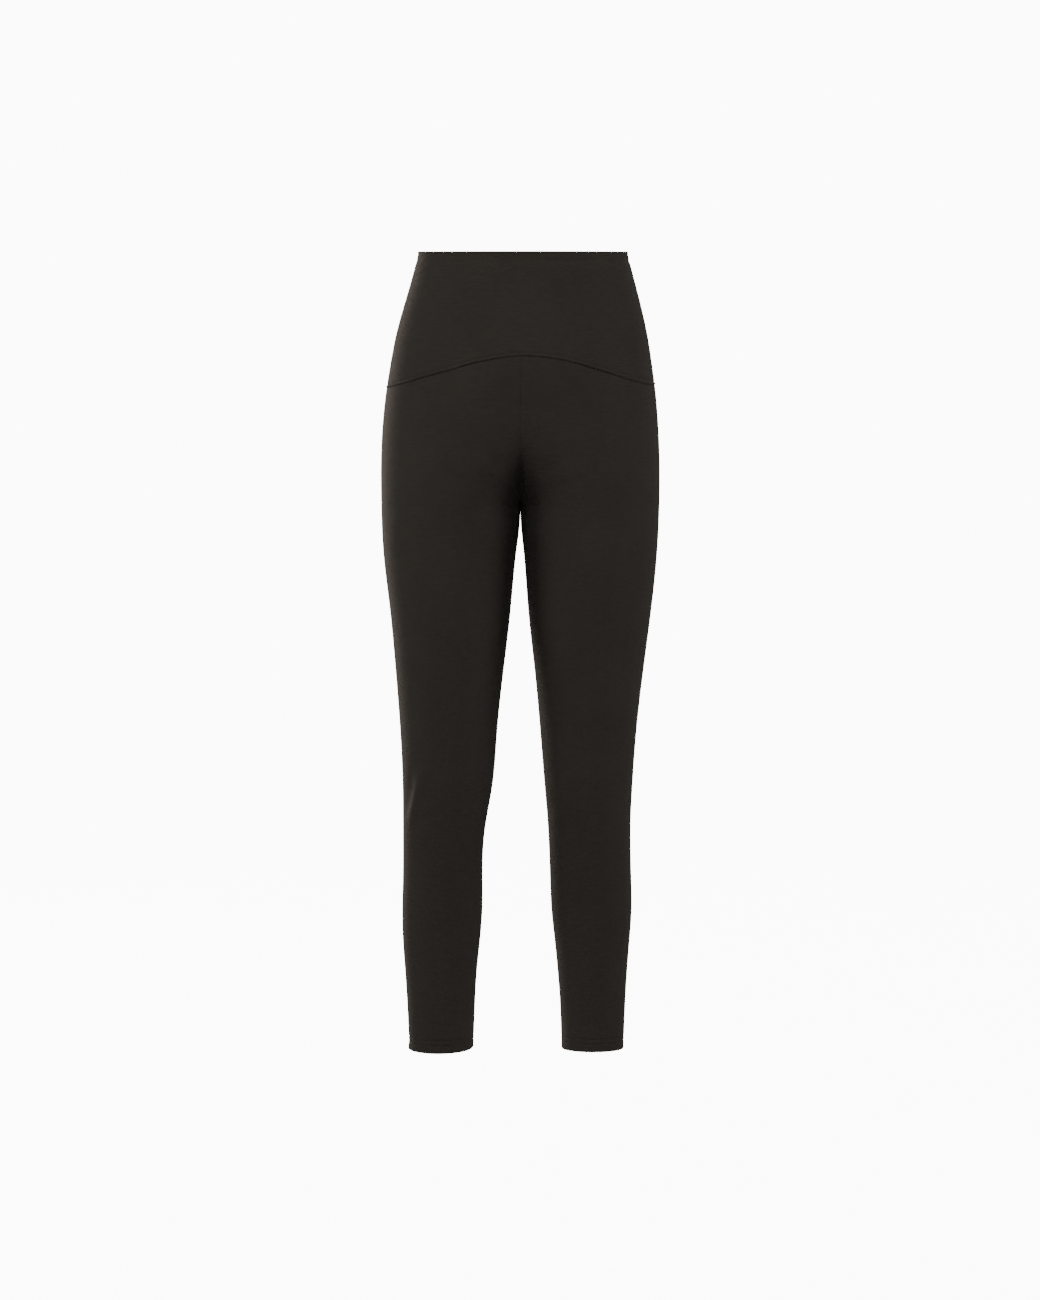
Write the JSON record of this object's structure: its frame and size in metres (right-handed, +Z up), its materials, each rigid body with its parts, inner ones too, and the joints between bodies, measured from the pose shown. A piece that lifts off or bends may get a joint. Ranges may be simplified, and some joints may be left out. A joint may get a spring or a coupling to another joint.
{
  "type": "leggings",
  "caption": "High-waisted knit leggings with an arched front yoke seam and plain turned hems, filled out as worn and hollow.",
  "frame": {"origin": "middle of the waist opening, level with its top edge, where the wearer's waist holds the garment", "axes": "+Z up, out of the waist opening; the front faces -Y; the wearer's left leg is at +X"},
  "size_m": [0.3282, 0.24, 0.946],
  "materials": {
    "knit": "thick matte double knit, near-black warm brown"
  },
  "bodies": {
    "root": {"front_yoke": "knit", "back_yoke": "knit", "left_leg_front": "knit", "left_leg_back": "knit", "right_leg_front": "knit", "right_leg_back": "knit"}
  },
  "joints": []
}
